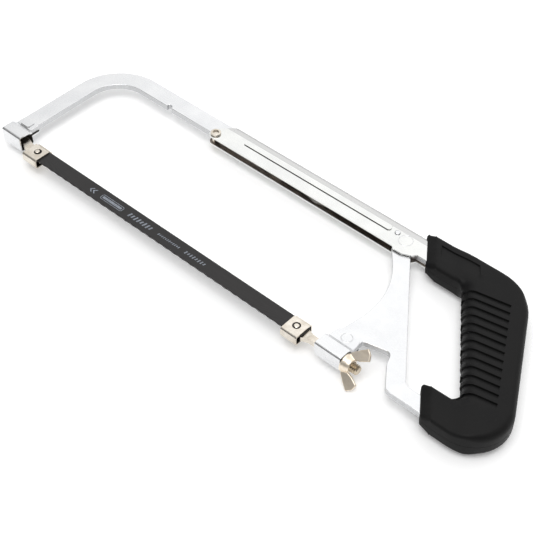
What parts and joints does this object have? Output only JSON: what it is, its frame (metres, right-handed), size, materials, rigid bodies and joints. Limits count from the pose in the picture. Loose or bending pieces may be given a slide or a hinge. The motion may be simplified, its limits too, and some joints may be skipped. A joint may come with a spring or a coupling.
{
  "type": "hacksaw",
  "caption": "Hand saw for metal and pipe: a telescoping steel frame holds a thin toothed blade under tension from a wing nut, with a closed black moulded grip.",
  "frame": {"origin": "middle of the bounding box on the surface the saw lies on", "axes": "+X from the front of the frame to the handle, +Y from the blade to the backbone, +Z out of the saw's plane on its near side"},
  "size_m": [0.4336, 0.1326, 0.0221],
  "materials": {
    "plated_steel": "satin bright zinc-chrome plate",
    "nickel": "warm bright nickel plate",
    "spring_steel": "dark oiled spring steel",
    "blade_paint": "thin black paint",
    "black_plastic": "moulded, satin"
  },
  "bodies": {
    "frame": {"backbone_channel": "plated_steel", "channel_front_rivet": "nickel", "channel_stop_rivet": "plated_steel", "rear_plate": "plated_steel", "rear_block": "plated_steel", "handle_near_shell": "black_plastic", "handle_far_shell": "black_plastic", "handle_screw_upper_leg": "spring_steel", "handle_screw_lower_leg": "spring_steel", "handle_screw_grip_top": "spring_steel", "handle_screw_grip_end": "spring_steel"},
    "bow": {"front_bow": "plated_steel", "bow_leaf_spring": "spring_steel", "front_block": "plated_steel", "front_shank": "nickel", "front_clip": "nickel", "front_holder_rivet": "nickel", "front_clip_rivet_head": "nickel"},
    "tension_screw": {"tension_bolt": "nickel", "rear_clip": "nickel", "rear_clip_pin": "nickel", "hacksaw_blade": "blade_paint", "front_blade_pin": "nickel"},
    "nut": {"wing_nut": "nickel"}
  },
  "joints": [
    {"name": "bow_slide", "type": "slide", "parent": "frame", "child": "bow", "axis": [-1, 0, 0], "range_m": [0, 0.05]},
    {"name": "wing_nut_spin", "type": "hinge", "parent": "frame", "child": "nut", "pos_m": [0.11103, -0.05523, 0.01103], "axis": [1, 0, 0], "range_deg": [0, 1350]},
    {"name": "tension_slide", "type": "slide", "parent": "frame", "child": "tension_screw", "axis": [1, 0, 0], "range_m": [-0.0053, 0]}
  ],
  "couplings": [
    {"joint": "tension_slide", "follows": "wing_nut_spin", "m_per_rad": -0.00022282}
  ]
}
